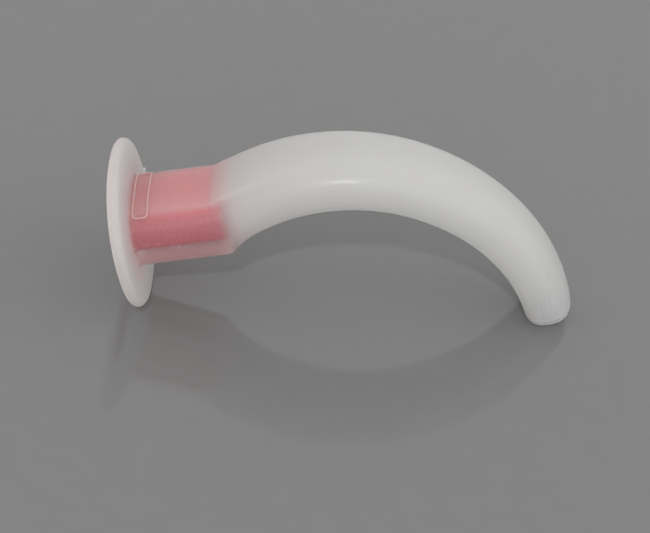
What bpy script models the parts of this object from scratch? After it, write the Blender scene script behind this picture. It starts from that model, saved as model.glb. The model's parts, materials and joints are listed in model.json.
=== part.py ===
"""Oropharyngeal airway: a milky moulded body with a rigid coloured sleeve in its bite section.

The body is one moulding. Its form is drawn in a side view, as pairs of points on its upper and
lower line, and every pair carries one closed ring. The bite axis is X and starts at the flange's inner
face, Z is up in the side view and Y is across. The finished part stands on the lower rim of
its flange and on its tip.
"""
import math

import bmesh
import bpy
from mathutils import Vector

MM = 0.001

# Flange, a thin oval plate with a full round edge
FLANGE_WIDTH = 16.55 * MM
FLANGE_HEIGHT = 14.45 * MM
FLANGE_THICKNESS = 1.1 * MM
FLANGE_DROP = 0.15 * MM
FLANGE_SQUARENESS = 2.2
ROOT_FILLET = 0.35 * MM

# Bite section, straight, measured from the flange's inner face to the middle of the bend
BITE_LENGTH = 8.28 * MM
BITE_HEIGHT = 6.2 * MM
BITE_WIDTH = 9.05 * MM
BITE_SQUARENESS = 3.1

# Bend between the bite section and the curve
BEND_LEAN = math.radians(12.0)
BEND_CLIMB = math.radians(43.0)
BEND_ROUND_ABOVE = 1.6 * MM
BEND_ROUND_BELOW = 0.5 * MM
NARROWING_AHEAD = 1.2 * MM
SHOULDER_LENGTH = 2.19 * MM
SHOULDER_RISE = 1.35 * MM

# Curve, two arcs that run on from each other down to the tip
START_ANGLE = math.radians(23.7)
FIRST_RADIUS = 17.4 * MM
FIRST_TURN = math.radians(56.0)
SECOND_RADIUS = 20.8 * MM
SECOND_TURN = math.radians(53.3)

# Outside of the tube at the start, the middle and the end of the curve
START_HEIGHT = 5.95 * MM
START_WIDTH = 8.35 * MM
MIDDLE_HEIGHT = 5.4 * MM
MIDDLE_WIDTH = 7.6 * MM
TIP_HEIGHT = 4.6 * MM
TIP_WIDTH = 6.55 * MM
CURVE_SQUARENESS = 2.6

# Walls of the body
CURVE_WALL = 0.9 * MM
TIP_ROUND_OUTSIDE = 0.7 * MM
COVER_ABOVE = 0.45 * MM
COVER_BELOW = 1.2 * MM
COVER_BESIDE = 0.7 * MM
MOUTH_ROUND = 0.2 * MM
LUMEN_BLEND = 3.2 * MM

# Bite sleeve, pushed in from the flange up to the step at the end of its pocket
SLEEVE_WALL = 0.55 * MM
SLEEVE_EDGE = 0.15 * MM
POCKET_DEPTH = 9.8 * MM
SEAT_CLEARANCE = 0.2 * MM

# Fineness of the mesh
RING_POINTS = 44
ARC_STEPS = 12
BEND_STEPS = 4
SHOULDER_STEPS = 4
ROUND_STEPS = 4
RIM_STEPS = 8
BLEND_STEPS = 5


def clear_scene():
    """Remove what the open scene holds."""
    for item in list(bpy.data.objects):
        bpy.data.objects.remove(item)


def plastic(name, colour, roughness, see_through):
    """A Principled plastic of one colour."""
    material = bpy.data.materials.new(name)
    material.use_nodes = True
    shader = material.node_tree.nodes["Principled BSDF"]
    shader.inputs["Base Color"].default_value = (*colour, 1.0)
    shader.inputs["Metallic"].default_value = 0.0
    shader.inputs["Roughness"].default_value = roughness
    shader.inputs["Transmission Weight"].default_value = see_through
    material.diffuse_color = (*colour, 1.0)
    return material


def point(along, up):
    """A point of the side view."""
    return Vector((along, 0.0, up))


def signed_power(value, power):
    """A power that keeps the sign, for rings between an ellipse and a rectangle."""
    return math.copysign(abs(value) ** power, value)


class Ring:
    """One closed cross section, given by its uppermost and lowest point and its width."""

    def __init__(self, top, bottom, width, squareness):
        self.top = top
        self.bottom = bottom
        self.width = width
        self.squareness = squareness

    def inset(self, above, below, beside):
        """The same section with a wall taken off all round."""
        up = (self.top - self.bottom).normalized()
        return Ring(self.top - up * above, self.bottom + up * below,
                    self.width - 2.0 * beside, self.squareness)

    def moved(self, offset):
        """The same section, moved in the side view."""
        return Ring(self.top + offset, self.bottom + offset, self.width, self.squareness)

    def points(self):
        """The ring's corners, with a flat between two of them at the very bottom."""
        middle = (self.top + self.bottom) / 2.0
        rise = (self.top - self.bottom) / 2.0
        side = Vector((0.0, self.width / 2.0, 0.0))
        power = 2.0 / self.squareness
        turns = [math.tau * (step + 0.5) / RING_POINTS for step in range(RING_POINTS)]
        return [middle + side * signed_power(math.cos(turn), power)
                + rise * signed_power(math.sin(turn), power) for turn in turns]


def upright(along, height, width, squareness, centre=0.0):
    """A ring square to the bite axis."""
    return Ring(point(along, centre + height / 2.0), point(along, centre - height / 2.0),
                width, squareness)


def through_three(start, middle, end, share):
    """The value at a share of the way on the parabola through three sizes."""
    return (start * (1.0 - share) * (1.0 - 2.0 * share)
            + middle * 4.0 * share * (1.0 - share)
            + end * share * (2.0 * share - 1.0))


def between(start, end, share):
    """The value at a share of the way between two."""
    return start + (end - start) * share


def smooth_step(share):
    """A share that starts and ends gently."""
    return share * share * (3.0 - 2.0 * share)


def rounded_corner(before, corner, after, radius, steps):
    """Points on the curve that rounds a corner of the side view."""
    into = (corner - before).normalized()
    out = (after - corner).normalized()
    turn = into.angle(out)
    reach = radius * math.tan(turn / 2.0)
    reach = min(reach, 0.9 * (corner - before).length, 0.9 * (after - corner).length)
    first = corner - into * reach
    last = corner + out * reach
    return [first.lerp(corner, share).lerp(corner.lerp(last, share), share)
            for share in (step / steps for step in range(steps + 1))]


def eased(start, start_way, end, end_way, share):
    """A point on the curve that leaves one point and reaches another in given directions."""
    reach = (end - start).length
    square = share * share
    cube = square * share
    return (start * (2.0 * cube - 3.0 * square + 1.0)
            + start_way * reach * (cube - 2.0 * square + share)
            + end * (3.0 * square - 2.0 * cube)
            + end_way * reach * (cube - square))


def curve_rings():
    """The outside rings of the curve, each with its direction and its distance along it."""
    length = FIRST_RADIUS * FIRST_TURN + SECOND_RADIUS * SECOND_TURN
    place = point(BITE_LENGTH + SHOULDER_LENGTH, SHOULDER_RISE)
    angle = START_ANGLE
    run = 0.0
    rings = []
    moves = [(0.0, 0.0)]
    moves += [(FIRST_RADIUS, FIRST_TURN / ARC_STEPS)] * ARC_STEPS
    moves += [(SECOND_RADIUS, SECOND_TURN / ARC_STEPS)] * ARC_STEPS
    for radius, turn in moves:
        chord = 2.0 * radius * math.sin(turn / 2.0)
        middle_angle = angle - turn / 2.0
        place = place + point(math.cos(middle_angle), math.sin(middle_angle)) * chord
        angle -= turn
        run += radius * turn
        share = run / length
        height = through_three(START_HEIGHT, MIDDLE_HEIGHT, TIP_HEIGHT, share)
        width = through_three(START_WIDTH, MIDDLE_WIDTH, TIP_WIDTH, share)
        way = point(math.cos(angle), math.sin(angle))
        up = point(-way.z, way.x)
        ring = Ring(place + up * height / 2.0, place - up * height / 2.0, width, CURVE_SQUARENESS)
        rings.append((ring, way, run))
    return rings


def bend_line(corner, end, end_way, radius):
    """One line of the bend: straight to a rounded corner, then a climb that eases into the end."""
    before = corner - point(NARROWING_AHEAD, 0.0)
    climb = point(math.cos(BEND_CLIMB), math.sin(BEND_CLIMB))
    line = rounded_corner(before, corner, corner + climb * NARROWING_AHEAD, radius, BEND_STEPS)
    return [before] + line + [eased(line[-1], climb, end, end_way, step / SHOULDER_STEPS)
                              for step in range(1, SHOULDER_STEPS)]


def bend_rings(first, way):
    """Rings from the bite section round the bend, up to the first ring of the curve."""
    half = BITE_HEIGHT / 2.0
    lean = half * math.tan(BEND_LEAN)
    tops = bend_line(point(BITE_LENGTH - lean, half), first.top, way, BEND_ROUND_ABOVE)
    bottoms = bend_line(point(BITE_LENGTH + lean, -half), first.bottom, way, BEND_ROUND_BELOW)
    rings = []
    for step, (top, bottom) in enumerate(zip(tops, bottoms)):
        share = smooth_step(step / len(tops))
        rings.append(Ring(top, bottom, between(BITE_WIDTH, first.width, share),
                          between(BITE_SQUARENESS, first.squareness, share)))
    return rings


def root_rings():
    """The fillet where the bite section leaves the flange."""
    rings = []
    for step in range(ROUND_STEPS + 1):
        turn = math.pi / 2.0 * step / ROUND_STEPS
        spread = 2.0 * ROOT_FILLET * (1.0 - math.sin(turn))
        along = ROOT_FILLET * (1.0 - math.cos(turn))
        rings.append(upright(along, BITE_HEIGHT + spread, BITE_WIDTH + spread, BITE_SQUARENESS))
    return rings


def lip_rings(last, way):
    """The rounded end of the wall at the tip."""
    inside = CURVE_WALL - TIP_ROUND_OUTSIDE
    rings = []
    for step in range(1, ROUND_STEPS + 1):
        turn = math.pi / 2.0 * step / ROUND_STEPS
        wall = TIP_ROUND_OUTSIDE * (1.0 - math.cos(turn))
        rings.append(last.inset(wall, wall, wall).moved(way * TIP_ROUND_OUTSIDE * math.sin(turn)))
    for step in range(1, ROUND_STEPS):
        turn = math.pi / 2.0 * step / (ROUND_STEPS - 1)
        wall = TIP_ROUND_OUTSIDE + inside * math.sin(turn)
        reach = TIP_ROUND_OUTSIDE - inside * (1.0 - math.cos(turn))
        rings.append(last.inset(wall, wall, wall).moved(way * reach))
    return rings


def pocket_ring(along):
    """The pocket's section, at a place on the bite axis."""
    section = upright(along, BITE_HEIGHT, BITE_WIDTH, BITE_SQUARENESS)
    return section.inset(COVER_ABOVE, COVER_BELOW, COVER_BESIDE)


def sleeve_ring(along, wall=0.0):
    """The sleeve's outside, or its section at a depth in its wall."""
    taken = SEAT_CLEARANCE + wall
    return pocket_ring(along).inset(taken, taken, taken)


def flange_face():
    """Where the flange's outer face is."""
    return -FLANGE_THICKNESS


def pocket_end():
    """Where the step at the end of the pocket is."""
    return flange_face() + POCKET_DEPTH


def lumen_rings(curve):
    """The lumen, from the tip back to the end of the pocket, as wide there as the sleeve's bore."""
    rings = [ring.inset(CURVE_WALL, CURVE_WALL, CURVE_WALL)
             for ring, way, run in reversed(curve) if run > LUMEN_BLEND]
    far_way = next(way for ring, way, run in curve if run > LUMEN_BLEND)
    far = rings[-1]
    near = sleeve_ring(pocket_end(), SLEEVE_WALL)
    along = point(1.0, 0.0)
    for step in range(1, BLEND_STEPS + 1):
        share = 1.0 - step / BLEND_STEPS
        rings.append(Ring(eased(near.top, along, far.top, far_way, share),
                          eased(near.bottom, along, far.bottom, far_way, share),
                          between(near.width, far.width, share),
                          between(near.squareness, far.squareness, share)))
    return rings


def pocket_rings():
    """The pocket for the sleeve and its rounded mouth in the outer face."""
    rings = [pocket_ring(pocket_end()), pocket_ring(flange_face() + MOUTH_ROUND)]
    for step in range(1, ROUND_STEPS):
        turn = math.pi / 2.0 * step / (ROUND_STEPS - 1)
        spread = -MOUTH_ROUND * (1.0 - math.cos(turn))
        along = flange_face() + MOUTH_ROUND * (1.0 - math.sin(turn))
        rings.append(pocket_ring(along).inset(spread, spread, spread))
    return rings


def rim_rings():
    """The flange's full round edge, from its outer face to the face on the tube's side."""
    radius = FLANGE_THICKNESS / 2.0
    rings = []
    for step in range(RIM_STEPS + 1):
        turn = math.pi * (step / RIM_STEPS - 0.5)
        less = 2.0 * radius * (1.0 - math.cos(turn))
        rings.append(upright(radius * (math.sin(turn) - 1.0), FLANGE_HEIGHT - less,
                             FLANGE_WIDTH - less, FLANGE_SQUARENESS, -FLANGE_DROP))
    return rings


def body_rings():
    """The whole moulding as one chain of rings that closes on itself."""
    curve = curve_rings()
    last, last_way, last_run = curve[-1]
    first, first_way, first_run = curve[0]
    return (root_rings() + bend_rings(first, first_way) + [ring for ring, way, run in curve]
            + lip_rings(last, last_way) + lumen_rings(curve) + pocket_rings() + rim_rings())


def sleeve_rings():
    """The sleeve as one chain of rings, its four edges broken by a small chamfer."""
    near = flange_face()
    far = pocket_end() - SEAT_CLEARANCE
    stops = [(near + SLEEVE_EDGE, 0.0), (far - SLEEVE_EDGE, 0.0), (far, SLEEVE_EDGE),
             (far, SLEEVE_WALL - SLEEVE_EDGE), (far - SLEEVE_EDGE, SLEEVE_WALL),
             (near + SLEEVE_EDGE, SLEEVE_WALL), (near, SLEEVE_WALL - SLEEVE_EDGE),
             (near, SLEEVE_EDGE)]
    return [sleeve_ring(along, wall) for along, wall in stops]


def loft(name, rings, material):
    """A closed mesh: the first ring is extruded from section to section and welded to its start."""
    mesh_data = bmesh.new()
    start = bmesh.ops.create_circle(mesh_data, segments=RING_POINTS, radius=BITE_WIDTH)["verts"]
    current = list(start)
    for corner, place in zip(current, rings[0].points()):
        corner.co = place
    edges = list(mesh_data.edges)
    for ring in rings[1:] + rings[:1]:
        grown = bmesh.ops.extrude_edge_only(mesh_data, edges=edges)["geom"]
        fresh = {item for item in grown if isinstance(item, bmesh.types.BMVert)}
        edges = [item for item in grown if isinstance(item, bmesh.types.BMEdge)]
        following = []
        for corner in current:
            across = (edge.other_vert(corner) for edge in corner.link_edges)
            following.append(next(other for other in across if other in fresh))
        current = following
        for corner, place in zip(current, ring.points()):
            corner.co = place
    bmesh.ops.remove_doubles(mesh_data, verts=start + current, dist=0.001 * MM)
    bmesh.ops.recalc_face_normals(mesh_data, faces=mesh_data.faces)
    mesh = bpy.data.meshes.new(name)
    mesh_data.to_mesh(mesh)
    mesh_data.free()
    mesh.materials.append(material)
    mesh.shade_smooth()
    mesh.set_sharp_from_angle(angle=math.radians(40.0))
    item = bpy.data.objects.new(name, mesh)
    bpy.context.collection.objects.link(item)
    return item


def lowest(places, pitch):
    """The lowest level that the points of the side view reach at a pitch."""
    return min(place.x * math.sin(pitch) + place.z * math.cos(pitch) for place in places)


def stand(body):
    """An empty that sets the part on its flange and its tip, centred over the floor's origin."""
    places = [corner.co.copy() for corner in body.data.vertices]
    flange_side = [place for place in places if place.x < BITE_LENGTH / 2.0]
    tip_side = [place for place in places if place.x > BITE_LENGTH]
    low = math.radians(-60.0)
    high = math.radians(60.0)
    for _ in range(50):
        pitch = (low + high) / 2.0
        if lowest(tip_side, pitch) > lowest(flange_side, pitch):
            high = pitch
        else:
            low = pitch
    reach = [place.x * math.cos(pitch) - place.z * math.sin(pitch) for place in places]
    rest = bpy.data.objects.new("rest", None)
    rest.rotation_euler = (0.0, -pitch, 0.0)
    rest.location = (-(min(reach) + max(reach)) / 2.0, 0.0, -lowest(places, pitch))
    bpy.context.collection.objects.link(rest)
    return rest


def main():
    """Model the two pieces and stand them on the floor."""
    clear_scene()
    milky = plastic("milky_polyethylene", (0.74, 0.73, 0.72), 0.32, 0.25)
    pink = plastic("pink_rigid_plastic", (0.78, 0.19, 0.23), 0.4, 0.0)
    body = loft("airway_body", body_rings(), milky)
    sleeve = loft("bite_sleeve", sleeve_rings(), pink)
    rest = stand(body)
    body.parent = rest
    sleeve.parent = rest
    bpy.context.view_layer.update()


main()
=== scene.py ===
"""A small oropharyngeal airway on a grey glossy table: milky tube and flange, pink bite insert."""

import math

import bmesh
import bpy
from mathutils import Matrix, Vector
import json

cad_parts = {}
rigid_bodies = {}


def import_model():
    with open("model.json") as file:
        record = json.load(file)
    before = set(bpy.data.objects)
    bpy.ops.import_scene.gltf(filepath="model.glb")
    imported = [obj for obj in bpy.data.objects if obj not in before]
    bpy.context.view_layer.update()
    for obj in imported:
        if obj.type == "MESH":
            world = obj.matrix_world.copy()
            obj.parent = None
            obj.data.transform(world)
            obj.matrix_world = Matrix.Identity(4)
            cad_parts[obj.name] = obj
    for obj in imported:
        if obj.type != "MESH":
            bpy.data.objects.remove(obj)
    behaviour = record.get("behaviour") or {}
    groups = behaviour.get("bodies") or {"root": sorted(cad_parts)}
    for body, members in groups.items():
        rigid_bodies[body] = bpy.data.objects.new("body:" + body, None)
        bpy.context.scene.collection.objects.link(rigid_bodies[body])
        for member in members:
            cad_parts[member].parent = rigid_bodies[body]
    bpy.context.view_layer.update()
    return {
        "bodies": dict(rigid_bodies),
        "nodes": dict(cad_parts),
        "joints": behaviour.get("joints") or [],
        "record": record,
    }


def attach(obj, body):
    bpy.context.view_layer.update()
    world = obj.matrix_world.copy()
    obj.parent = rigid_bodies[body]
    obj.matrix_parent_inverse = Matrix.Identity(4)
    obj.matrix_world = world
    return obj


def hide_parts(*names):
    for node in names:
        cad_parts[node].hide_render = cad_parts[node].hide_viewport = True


MM = 0.001

# The bite section's own frame, as the part is modelled before it is stood up: along it from the
# flange's inner face, across, and up. The part leans back by this pitch on flange rim and tip.
PITCH = math.radians(14.79)
BITE_ORIGIN = (16.851, -11.968)

# Sizes in the bite frame, in millimetres
INSERT_END = 8.45
SECTION_HALF_HEIGHT = 3.1
SECTION_HALF_WIDTH = 4.525
SECTION_SQUARENESS = 3.1

# The ridge on each side: its level, where it starts to climb and how steeply, how far it lies
# from the middle, and how much further out it goes for each millimetre along
RIDGE_LEVEL = 2.94
RIDGE_START = 7.6
RIDGE_CLIMB = 0.37
RIDGE_ASIDE = 2.3
RIDGE_SPREAD = 0.05

# The tip's own frame: down along the tube from where its end starts to round, across, and out.
# Its streaks of painted shade, where the dark lumen shows through the wall, are noise drawn out
# along the tube
TIP_PLACE = (36.386, -15.861)
TIP_TURN = math.radians(-85.6)
STREAK_STRETCH = (0.14, 1.5, 1.5)

# How cloudy the milky wall is over the insert: all round, and more on top, low down, in the upper
# and lower corners and in small clouds. Then how much light the wall lets through everywhere
OUTER_SKIN = 0.34
TOP_CLOUD = 0.62
LOW_CLOUD = 0.35
UPPER_CORNER_CLOUD = 0.12
LOWER_CORNER_CLOUD = 0.62
SMALL_CLOUDS = 0.22
LIGHT_THROUGH = 0.68

# Colours of the milky plastic, as it is, where the insert tints it, and where painted shade and
# painted highlight lie on it. The plain ones stand for a whole finish where its nodes aren't read
MILK_PLAIN = (0.74, 0.735, 0.72, 1.0)
MILK = (0.82, 0.82, 0.815, 1.0)
MILK_COOLER = (0.78, 0.78, 0.785, 1.0)
MILK_DULLER = (0.72, 0.72, 0.725, 1.0)
MILK_LIT_THROUGH = (0.97, 0.965, 0.95, 1.0)
# Painted shade where the dark lumen shows through the wall near the tip
PAINTED_LUMEN_SHADE = (0.60, 0.63, 0.66, 1.0)
RIM_SHADE = (0.5, 0.49, 0.48, 1.0)
FLANGE_BLUSH = (0.84, 0.71, 0.695, 1.0)
LOWER_TINT = (0.92, 0.50, 0.50, 1.0)
UPPER_TINT = (0.84, 0.585, 0.58, 1.0)
# Painted shade in a band above the ridge
PAINTED_RIDGE_SHADE = (0.60, 0.54, 0.55, 1.0)
# Painted highlight, on the ridge and in short glints
PAINTED_HIGHLIGHT = (0.95, 0.91, 0.89, 1.0)
BEAD_PLAIN = (0.75, 0.6, 0.59, 1.0)
BEAD_LIGHT = (0.60, 0.39, 0.385, 1.0)
BEAD_DARK = (0.55, 0.35, 0.345, 1.0)

# Colours of the insert and of the table
PINK = (0.60, 0.09, 0.13, 1.0)
PINK_MOTTLE = (0.72, 0.14, 0.18, 1.0)
# The darkest pink is painted shade on the insert's side faces
PINK_SHADED_SIDE = (0.42, 0.045, 0.085, 1.0)
TABLE_GREY = (0.195, 0.196, 0.196, 1.0)
TABLE_DARK = (0.188, 0.189, 0.189, 1.0)
TABLE_LIGHT = (0.202, 0.203, 0.203, 1.0)

# The blank raised frame on top of the bite section, in millimetres. It falls onto the tube from a
# level above it
FRAME_ALONG = 1.15
FRAME_FROM = 5.0
FRAME_WIDTH = 1.35
FRAME_LENGTH = 6.5
FRAME_CORNER = 0.35
FRAME_BEAD = 0.11

# The stub of the cut-off runner on the flange's edge, in millimetres
GATE_PLACE = (-0.1, -0.58)
GATE_ACROSS = 8.2
GATE_ROOT_RADIUS = 0.22
GATE_END_RADIUS = 0.16
GATE_LENGTH = 0.46
GATE_EDGE = 0.05

# The table's half side in metres, and the even light from all round
TABLE_REACH = 1.5
WORLD_LEVEL = 0.765

# Camera, set to the photograph
CAMERA_TARGET = Vector((-1.518, 0.0, 3.280)) * MM
CAMERA_DISTANCE = 187.19 * MM
CAMERA_ELEVATION = math.radians(40.634)
CAMERA_AZIMUTH = math.radians(3.935)
CAMERA_ROLL = math.radians(6.847)
CAMERA_LENS = 110.05
CAMERA_SENSOR = 36.0

# Fineness of the finished pieces
MERGE_DISTANCE = 0.002 * MM
FLAT_ANGLE = math.radians(40.0)
SHAPE_ANGLE = math.radians(70.0)
CREASE_ANGLE = math.radians(38.0)
SMOOTH_LEVELS = 2


class Value:
    """One output of a node. Arithmetic on it adds the Math nodes that work it out."""

    def __init__(self, tree, socket):
        self.tree = tree
        self.socket = socket

    def math(self, operation, *values):
        """A Math node on these values."""
        return self.tree.node("ShaderNodeMath", {"operation": operation}, dict(enumerate(values)))

    def __add__(self, other):
        return self.math("ADD", self, other)

    __radd__ = __add__

    def __sub__(self, other):
        return self.math("SUBTRACT", self, other)

    def __rsub__(self, other):
        return self.math("SUBTRACT", other, self)

    def __mul__(self, other):
        return self.math("MULTIPLY", self, other)

    __rmul__ = __mul__

    def __truediv__(self, other):
        return self.math("DIVIDE", self, other)

    def __pow__(self, other):
        return self.math("POWER", self, other)

    def __abs__(self):
        return self.math("ABSOLUTE", self)

    def smooth(self, low, high, start=0.0, end=1.0):
        """A soft step that runs from start to end while the value goes from low to high."""
        return self.tree.node("ShaderNodeMapRange", {"interpolation_type": "SMOOTHSTEP"},
                              {"Value": self, "From Min": low, "From Max": high,
                               "To Min": start, "To Max": end})


class Tree:
    """A node tree that is built by one call for each node."""

    def __init__(self, tree):
        self.tree = tree

    def node(self, kind, settings=None, values=None, output=0):
        """Add a node: its settings first, then its sockets, by value or by link."""
        node = self.tree.nodes.new(kind)
        for name, setting in (settings or {}).items():
            setattr(node, name, setting)
        for name, value in (values or {}).items():
            socket = node.inputs[name]
            if isinstance(value, Value):
                self.tree.links.new(value.socket, socket)
            else:
                socket.default_value = value
        return Value(self, node.outputs[output])

    def link(self, value, node, name):
        """Feed a value to a node's socket."""
        self.tree.links.new(value.socket, node.inputs[name])


def finish_of(name, colour, roughness):
    """A new plastic material and its tree, its Principled shader and what it starts with."""
    material = bpy.data.materials.new(name)
    material.use_nodes = True
    tree = material.node_tree
    shader = tree.nodes["Principled BSDF"]
    shader.inputs["Base Color"].default_value = colour
    shader.inputs["Roughness"].default_value = roughness
    material.diffuse_color = colour
    return material, Tree(tree), shader


def place_in(tree, turn, origin):
    """Where a surface point is in a turned frame, in millimetres: the point and its three parts."""
    far = (-origin[0] * math.cos(turn) - origin[1] * math.sin(turn),
           origin[0] * math.sin(turn) - origin[1] * math.cos(turn))
    place = tree.node("ShaderNodeTexCoord", output="Object")
    turned = tree.node("ShaderNodeMapping", {"vector_type": "POINT"}, {
        "Vector": place, "Scale": (1.0 / MM, 1.0 / MM, 1.0 / MM), "Rotation": (0.0, turn, 0.0),
        "Location": (far[0], 0.0, far[1])})
    return turned, [tree.node("ShaderNodeSeparateXYZ", None, {"Vector": turned}, output=axis)
                    for axis in ("X", "Y", "Z")]


def part_place(along, up):
    """A point of the bite frame's side view in the part's frame, in millimetres."""
    along, up = along - BITE_ORIGIN[0], up - BITE_ORIGIN[1]
    return (along * math.cos(PITCH) - up * math.sin(PITCH),
            along * math.sin(PITCH) + up * math.cos(PITCH))


def bite_place(tree):
    """Where a surface point is in the bite frame."""
    return place_in(tree, PITCH, part_place(0.0, 0.0))


def mix(tree, share, first, second):
    """Two colours mixed."""
    return tree.node("ShaderNodeMix", {"data_type": "RGBA"},
                     {"Factor": share, 6: first, 7: second}, output=2)


def mix_numbers(tree, share, first, second):
    """Two numbers mixed."""
    return tree.node("ShaderNodeMix", {"data_type": "FLOAT"},
                     {"Factor": share, 2: first, 3: second})


def noise(tree, place, scale, detail=4.0):
    """Soft noise around a half, at a number of waves to the unit of the place."""
    return tree.node("ShaderNodeTexNoise", None,
                     {"Vector": place, "Scale": scale, "Detail": detail, "Roughness": 0.55})


def stretched(tree, place, amounts):
    """A place whose axes are stretched for a pattern."""
    return tree.node("ShaderNodeVectorMath", {"operation": "MULTIPLY"}, {0: place, 1: amounts})


def bump(tree, height, strength, distance):
    """Normals that follow a height pattern, its distance in metres."""
    return tree.node("ShaderNodeBump", None, {"Strength": strength, "Distance": distance,
                                             "Height": height})


def ridge_mask(along, across, up):
    """The soft edge that runs from the top of the bite section up into the curve."""
    climb = along.math("MAXIMUM", along - RIDGE_START, 0.0)
    rise = up - (RIDGE_LEVEL + RIDGE_CLIMB * climb)
    aside = abs(across) - (RIDGE_ASIDE + RIDGE_SPREAD * along)
    off = (rise * rise + aside * aside) ** 0.5
    return off.smooth(0.06, 0.42, 1.0, 0.0) * along.smooth(7.0, 9.2, 0.3, 1.0) \
        * along.smooth(1.0, 3.0) * along.smooth(11.0, 15.0, 1.0, 0.0)


def glint_mask(tree, place, along, across, up):
    """Short lines and a dot of painted highlight: glints low on each side of the bite section."""
    first = abs(up - 0.45).smooth(0.04, 0.13, 1.0, 0.0) * along.smooth(0.3, 0.6) \
        * along.smooth(2.6, 3.0, 1.0, 0.0)
    second = abs(up + 0.05 + 0.13 * (along - 3.5)).smooth(0.03, 0.11, 1.0, 0.0) \
        * along.smooth(3.3, 3.6) * along.smooth(5.3, 5.8, 1.0, 0.0)
    dot = (abs(up - 0.3) + abs(along - 0.35)).smooth(0.08, 0.22, 1.0, 0.0)
    broken = noise(tree, place, 2.2, 2.0).smooth(0.42, 0.58)
    return ((first * 0.6 + second) * broken + dot) * abs(across).smooth(4.2, 4.4)


def tip_marks(tree):
    """Painted shade: faint streaks that run down to the tip where the dark lumen shows through the
    wall, and the line where its end starts to round.
    """
    tip, (down, _, _) = place_in(tree, PITCH + TIP_TURN, part_place(*TIP_PLACE))
    streaks = noise(tree, stretched(tree, tip, STREAK_STRETCH), 1.0).smooth(0.48, 0.66)
    rim_line = abs(down + 0.02).smooth(0.03, 0.12, 1.0, 0.0)
    return streaks * down.smooth(-8.0, -1.5), rim_line


def section_place(across, up):
    """How far out a point is in the bite section, 1 on its outside, and how much in a corner."""
    sides = (abs(across) / SECTION_HALF_WIDTH) ** SECTION_SQUARENESS
    levels = (abs(up) / SECTION_HALF_HEIGHT) ** SECTION_SQUARENESS
    return (sides + levels) ** (1.0 / SECTION_SQUARENESS), 4.0 * sides * levels


def cloudy_outside(tree, place, across, up, corner):
    """How cloudy the outside of the bite section is, where it lies over the insert."""
    on_top = abs(across).smooth(2.6, 3.5, 1.0, 0.0) * up.smooth(1.2, 2.2)
    in_corner = up.smooth(-1.5, 1.5, LOWER_CORNER_CLOUD, UPPER_CORNER_CLOUD) * corner
    small = noise(tree, place, 3.2, 5.0) - 0.5
    return OUTER_SKIN + TOP_CLOUD * on_top + up.smooth(-0.8, 0.3, LOW_CLOUD, 0.0) \
        + in_corner + SMALL_CLOUDS * small


def insert_glow(along, reach):
    """How much of its colour the insert gives to the milky plastic round it and past its end."""
    past_end = along.smooth(INSERT_END + 0.1, INSERT_END + 0.8, 0.6, 0.0) \
        + along.smooth(INSERT_END, INSERT_END + 2.8, 0.4, 0.0)
    return reach.smooth(1.2, 1.5, 1.0, 0.0) * along.smooth(-0.6, 0.3, 0.3, 1.0) * past_end


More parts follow.
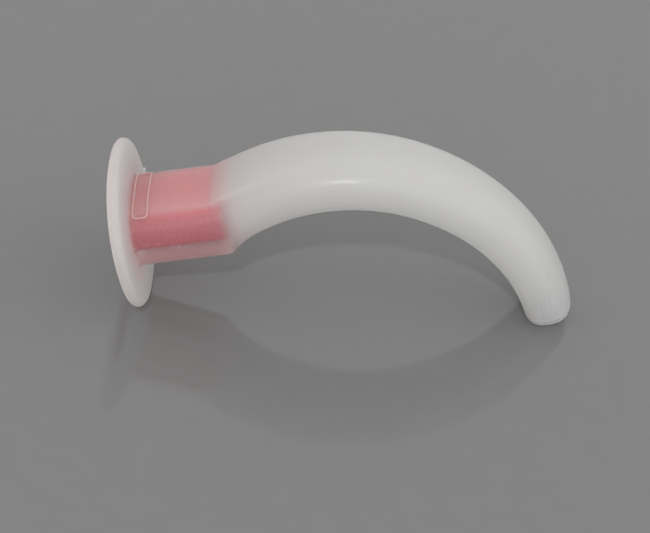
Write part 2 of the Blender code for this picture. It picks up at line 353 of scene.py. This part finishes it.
def milky_finish():
    """Milky polyethylene, half clear over the insert, which tints it, with painted shade and
    painted highlights along its edges and near the tip.
    """
    material, tree, shader = finish_of("milky_polyethylene", MILK_PLAIN, 0.3)
    place, (along, across, up) = bite_place(tree)
    streaks, rim_line = tip_marks(tree)
    reach, corner = section_place(across, up)
    ridge = ridge_mask(along, across, up)
    # Painted shade: a soft band just above the ridge, where no hollow is modelled
    ridge_shade = ridge_mask(along, across, up - 0.5) * along.smooth(7.4, 8.6)
    # Painted highlight: short glints low on each side of the bite section
    glint = glint_mask(tree, place, along, across, up)

    milk = mix(tree, noise(tree, place, 0.12, 3.0), MILK, MILK_COOLER)
    milk = mix(tree, along.smooth(9.0, 34.0, 0.7, 0.0), milk, MILK_DULLER)
    # Painted shade: darker streaks where the dark lumen shows through the wall near the tip
    milk = mix(tree, 0.9 * streaks, milk, PAINTED_LUMEN_SHADE)
    # Painted shade along the line where the tip's end starts to round, over a small bump
    milk = mix(tree, 0.8 * rim_line, milk, RIM_SHADE)
    blush = along.smooth(-0.9, 0.02, 0.75, 0.3) * along.smooth(0.05, 0.35, 1.0, 0.0)
    milk = mix(tree, blush, milk, FLANGE_BLUSH)
    tint = mix(tree, up.smooth(-1.5, 1.5), LOWER_TINT, UPPER_TINT)
    shown = mix(tree, 0.9 * insert_glow(along, reach), milk, tint)
    # Painted shade in the band just above the ridge
    shown = mix(tree, 0.45 * ridge_shade, shown, PAINTED_RIDGE_SHADE)
    # Painted highlight along the bumped ridge and in short glints low on both sides
    shown = mix(tree, 0.6 * ridge + 0.5 * glint, shown, PAINTED_HIGHLIGHT)

    over_insert = along.smooth(-0.05, 0.3) \
        * along.smooth(INSERT_END - 0.5, INSERT_END + 1.7, 1.0, 0.0)
    outside = cloudy_outside(tree, place, across, up, corner)
    skin = reach.smooth(0.87, 0.95) * outside + 0.3 * glint
    cover = mix_numbers(tree, over_insert, 1.0, skin)

    ripple = noise(tree, place, 0.9, 5.0)
    relief = bump(tree, ripple + 1.5 * ridge + 0.6 * rim_line, 0.1, 0.2 * MM)
    tree.link(shown, shader, "Base Color")
    tree.link(cover, shader, "Alpha")
    tree.link(0.2 + 0.08 * ripple, shader, "Roughness")
    tree.link(relief, shader, "Normal")
    shader.inputs["Subsurface Weight"].default_value = 0.7
    shader.inputs["Subsurface Radius"].default_value = (1.0, 0.9, 0.85)
    shader.inputs["Subsurface Scale"].default_value = 1.4 * MM
    shader.inputs["Sheen Weight"].default_value = 0.2
    shader.inputs["Sheen Roughness"].default_value = 0.4
    shader.inputs["IOR"].default_value = 1.5

    # Light that comes through the wall from inside, less of it where painted shade lies on the
    # outside
    through = tree.node("ShaderNodeBsdfTranslucent", None,
                        {"Color": MILK_LIT_THROUGH, "Normal": relief})
    clear = tree.node("ShaderNodeBsdfTransparent")
    lit = tree.node("ShaderNodeMixShader", None, {0: cover, 1: clear, 2: through})
    shade_marks = 0.45 * streaks + 0.6 * rim_line + 0.35 * ridge_shade
    surface = Value(tree, shader.outputs["BSDF"])
    wall = tree.node("ShaderNodeMixShader", None,
                     {0: LIGHT_THROUGH * (1.0 - shade_marks), 1: surface, 2: lit})
    tree.link(wall, tree.tree.nodes["Material Output"], "Surface")
    return material


def bead_finish():
    """The milky plastic where it stands proud as a thin bead."""
    material, tree, shader = finish_of("milky_bead", BEAD_PLAIN, 0.3)
    place, _ = bite_place(tree)
    grain = noise(tree, place, 2.0)
    tree.link(mix(tree, grain, BEAD_LIGHT, BEAD_DARK), shader, "Base Color")
    tree.link(0.45 + 0.1 * grain, shader, "Roughness")
    tree.link(bump(tree, grain, 0.1, 0.05 * MM), shader, "Normal")
    shader.inputs["Subsurface Weight"].default_value = 0.5
    shader.inputs["Subsurface Scale"].default_value = 0.3 * MM
    return material


def insert_finish():
    """The rigid pink plastic of the bite insert, a little mottled, with painted shade towards its
    sides.
    """
    material, tree, shader = finish_of("pink_rigid_plastic", PINK, 0.38)
    place, (_, across, _) = bite_place(tree)
    speck = noise(tree, place, 1.8, 6.0)
    shown = mix(tree, speck.smooth(0.3, 0.7), PINK, PINK_MOTTLE)
    # Painted shade on the insert's side faces
    shown = mix(tree, abs(across).smooth(2.6, 3.2, 0.0, 0.65), shown, PINK_SHADED_SIDE)
    tree.link(shown, shader, "Base Color")
    tree.link(0.32 + 0.14 * speck, shader, "Roughness")
    tree.link(bump(tree, speck, 0.15, 0.1 * MM), shader, "Normal")
    return material


def table_finish():
    """A plain grey table top, slightly worn and glossy."""
    material, tree, shader = finish_of("grey_table", TABLE_GREY, 0.09)
    place = tree.node("ShaderNodeTexCoord", output="Object")
    grain = mix(tree, noise(tree, place, 400.0), TABLE_DARK, TABLE_LIGHT)
    tree.link(grain, shader, "Base Color")
    tree.link(0.07 + 0.04 * noise(tree, place, 60.0), shader, "Roughness")
    shader.inputs["IOR"].default_value = 1.6
    return material


def smooth_copy(node, name, material):
    """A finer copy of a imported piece: merged, in four-sided faces, smooth between its creases."""
    mesh_data = bmesh.new()
    mesh_data.from_mesh(node.data)
    bmesh.ops.remove_doubles(mesh_data, verts=mesh_data.verts, dist=MERGE_DISTANCE)
    bmesh.ops.join_triangles(mesh_data, faces=mesh_data.faces, angle_face_threshold=FLAT_ANGLE,
                             angle_shape_threshold=SHAPE_ANGLE)
    crease = mesh_data.edges.layers.float.new("crease_edge")
    for edge in mesh_data.edges:
        edge.smooth = edge.calc_face_angle(0.0) < CREASE_ANGLE
        edge[crease] = 0.0 if edge.smooth else 1.0
    for face in mesh_data.faces:
        face.smooth = True
    mesh = bpy.data.meshes.new(name)
    mesh_data.to_mesh(mesh)
    mesh_data.free()
    mesh.materials.append(material)
    piece = bpy.data.objects.new(name, mesh)
    bpy.context.scene.collection.objects.link(piece)
    finer = piece.modifiers.new("finer", "SUBSURF")
    finer.levels = finer.render_levels = SMOOTH_LEVELS
    return piece


def raised_frame_tree():
    """A rounded oblong outline that is laid on a surface from above and becomes a thin bead."""
    group = bpy.data.node_groups.new("raised_frame", "GeometryNodeTree")
    for name, kind in (("Width", "Float"), ("Length", "Float"), ("Corner", "Float"),
                       ("Bead", "Float"), ("Place", "Vector"), ("Turn", "Rotation"),
                       ("Fall", "Vector"), ("Surface", "Object"), ("Finish", "Material")):
        group.interface.new_socket(name, in_out="INPUT", socket_type="NodeSocket" + kind)
    group.interface.new_socket("Geometry", in_out="OUTPUT", socket_type="NodeSocketGeometry")
    tree = Tree(group)
    given = group.nodes.new("NodeGroupInput")

    def wanted(name):
        return Value(tree, given.outputs[name])

    outline = tree.node("GeometryNodeCurvePrimitiveQuadrilateral", None,
                        {"Width": wanted("Width"), "Height": wanted("Length")})
    outline = tree.node("GeometryNodeFilletCurve", {"mode": "POLY"},
                        {"Curve": outline, "Radius": wanted("Corner"), "Count": 6,
                         "Limit Radius": True})
    outline = tree.node("GeometryNodeResampleCurve", None, {"Curve": outline, "Count": 160})
    outline = tree.node("GeometryNodeTransform", None,
                        {"Geometry": outline, "Translation": wanted("Place"),
                         "Rotation": wanted("Turn")})
    surface = tree.node("GeometryNodeObjectInfo", None, {"Object": wanted("Surface")}, "Geometry")
    landed = tree.node("GeometryNodeRaycast", None,
                       {"Target Geometry": surface, "Ray Direction": wanted("Fall"),
                        "Ray Length": 20.0 * MM}, "Hit Position")
    laid = tree.node("GeometryNodeSetPosition", None, {"Geometry": outline, "Position": landed})
    round_section = tree.node("GeometryNodeCurvePrimitiveCircle", None,
                              {"Resolution": 12, "Radius": wanted("Bead")})
    bead = tree.node("GeometryNodeCurveToMesh", None,
                     {"Curve": laid, "Profile Curve": round_section})
    bead = tree.node("GeometryNodeSetShadeSmooth", None, {"Geometry": bead})
    bead = tree.node("GeometryNodeRealizeInstances", None, {"Geometry": bead})
    bead = tree.node("GeometryNodeSetMaterial", None,
                     {"Geometry": bead, "Material": wanted("Finish")})
    tree.link(bead, group.nodes.new("NodeGroupOutput"), "Geometry")
    return group


def baked(name, group, values):
    """The plain mesh that a geometry tree makes from these inputs."""
    maker = bpy.data.objects.new(name + "_maker", bpy.data.meshes.new(name + "_maker"))
    bpy.context.scene.collection.objects.link(maker)
    modifier = maker.modifiers.new("made", "NODES")
    modifier.node_group = group
    for item in group.interface.items_tree:
        if item.in_out == "INPUT":
            modifier[item.identifier] = values[item.name]
    shown = maker.evaluated_get(bpy.context.evaluated_depsgraph_get())
    mesh = bpy.data.meshes.new_from_object(shown)
    maker.modifiers.remove(modifier)
    bpy.data.objects.remove(maker)
    mesh.name = name
    piece = bpy.data.objects.new(name, mesh)
    bpy.context.scene.collection.objects.link(piece)
    return piece


def build_size_frame(tube, finish):
    """The plain raised frame on top of the bite section, next to the flange, left blank."""
    x, z = part_place(FRAME_ALONG, FRAME_FROM)
    fall = Vector((math.sin(PITCH), 0.0, -math.cos(PITCH)))
    frame = baked("blank_size_frame", raised_frame_tree(), {
        "Width": FRAME_WIDTH * MM, "Length": FRAME_LENGTH * MM, "Corner": FRAME_CORNER * MM,
        "Bead": FRAME_BEAD * MM, "Place": Vector((x, 0.0, z)) * MM, "Turn": (0.0, -PITCH, 0.0),
        "Fall": fall, "Surface": tube, "Finish": finish})
    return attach(frame, "root")


def build_gate_mark(finish):
    """The small stub left on the flange's edge where its runner was cut off."""
    mesh_data = bmesh.new()
    x, z = part_place(*GATE_PLACE)
    outwards = Matrix.Rotation(math.radians(-90.0), 4, "X")
    place = Matrix.Translation(Vector((x, GATE_ACROSS, z)) * MM) @ outwards
    bmesh.ops.create_cone(mesh_data, cap_ends=True, segments=20, radius1=GATE_ROOT_RADIUS * MM,
                          radius2=GATE_END_RADIUS * MM, depth=GATE_LENGTH * MM, matrix=place)
    for face in mesh_data.faces:
        face.smooth = True
    mesh = bpy.data.meshes.new("gate_mark")
    mesh_data.to_mesh(mesh)
    mesh_data.free()
    mesh.materials.append(finish)
    mark = bpy.data.objects.new("gate_mark", mesh)
    bpy.context.scene.collection.objects.link(mark)
    edge = mark.modifiers.new("edge", "BEVEL")
    edge.width = GATE_EDGE * MM
    edge.segments = 3
    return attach(mark, "root")


def build_table():
    """The table top, square and wide enough for every view."""
    mesh = bpy.data.meshes.new("table_top")
    corners = [(-TABLE_REACH, -TABLE_REACH, 0.0), (TABLE_REACH, -TABLE_REACH, 0.0),
               (TABLE_REACH, TABLE_REACH, 0.0), (-TABLE_REACH, TABLE_REACH, 0.0)]
    mesh.from_pydata(corners, [], [(0, 1, 2, 3)])
    mesh.materials.append(table_finish())
    table = bpy.data.objects.new("table_top", mesh)
    bpy.context.scene.collection.objects.link(table)


def area_light(name, azimuth, elevation, distance, size, power, highlight_only=False):
    """A round light that looks at the part from a side and a height, both in degrees.

    It lights the surfaces but is mirrored in none of them, or for a highlight the other way round.
    """
    light = bpy.data.lights.new(name, "AREA")
    light.shape = "DISK"
    light.size = size
    light.energy = power
    lamp = bpy.data.objects.new(name, light)
    azimuth, elevation = math.radians(azimuth), math.radians(elevation)
    away = Vector((math.sin(azimuth) * math.cos(elevation),
                   -math.cos(azimuth) * math.cos(elevation), math.sin(elevation)))
    lamp.location = away * distance
    lamp.rotation_mode = "QUATERNION"
    lamp.rotation_quaternion = away.to_track_quat("Z", "Y")
    lamp.visible_diffuse = lamp.visible_transmission = not highlight_only
    lamp.visible_glossy = highlight_only
    bpy.context.scene.collection.objects.link(lamp)
    return lamp


def build_lights(pieces):
    """Even light from all round, a key from in front, two fills, and a highlight on the pieces."""
    world = bpy.data.worlds.new("studio")
    world.use_nodes = True
    background = world.node_tree.nodes["Background"]
    background.inputs["Color"].default_value = (1.0, 1.0, 1.0, 1.0)
    background.inputs["Strength"].default_value = WORLD_LEVEL
    bpy.context.scene.world = world
    area_light("key", azimuth=-10.0, elevation=50.0, distance=0.9, size=0.04, power=1.75)
    area_light("front_fill", azimuth=0.0, elevation=12.0, distance=1.0, size=0.5, power=0.7)
    area_light("side_fill", azimuth=78.0, elevation=30.0, distance=1.0, size=0.7, power=1.0)
    shine = area_light("shine", azimuth=-2.0, elevation=27.0, distance=1.0, size=0.08, power=2.5,
                       highlight_only=True)
    shiny = bpy.data.collections.new("shiny")
    for piece in pieces:
        shiny.objects.link(piece)
    shine.light_linking.receiver_collection = shiny


def build_camera():
    """The camera at the photograph's angle, a little rolled."""
    camera = bpy.data.objects.new("camera", bpy.data.cameras.new("camera"))
    camera.data.lens = CAMERA_LENS
    camera.data.sensor_width = CAMERA_SENSOR
    camera.data.clip_start = 0.005
    camera.data.clip_end = 10.0
    ahead = Vector((math.sin(CAMERA_AZIMUTH) * math.cos(CAMERA_ELEVATION),
                    math.cos(CAMERA_AZIMUTH) * math.cos(CAMERA_ELEVATION),
                    -math.sin(CAMERA_ELEVATION)))
    right = ahead.cross(Vector((0.0, 0.0, 1.0))).normalized()
    over = right.cross(ahead)
    rolled_right = right * math.cos(CAMERA_ROLL) + over * math.sin(CAMERA_ROLL)
    rolled_over = over * math.cos(CAMERA_ROLL) - right * math.sin(CAMERA_ROLL)
    turn = Matrix((rolled_right, rolled_over, -ahead)).transposed()
    place = Matrix.Translation(CAMERA_TARGET - ahead * CAMERA_DISTANCE)
    camera.matrix_world = place @ turn.to_4x4()
    bpy.context.scene.collection.objects.link(camera)
    bpy.context.scene.camera = camera


def main():
    """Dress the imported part, light it and frame it."""
    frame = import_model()
    nodes = frame["nodes"]
    tube = smooth_copy(nodes["airway_body"], "milky_tube", milky_finish())
    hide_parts("airway_body")
    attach(tube, "root")
    insert = smooth_copy(nodes["bite_sleeve"], "pink_insert", insert_finish())
    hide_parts("bite_sleeve")
    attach(insert, "root")
    size_frame = build_size_frame(tube, bead_finish())
    gate_mark = build_gate_mark(tube.data.materials[0])
    build_table()
    build_lights([tube, insert, size_frame, gate_mark])
    build_camera()
    bpy.context.scene.view_settings.view_transform = "Standard"


main()
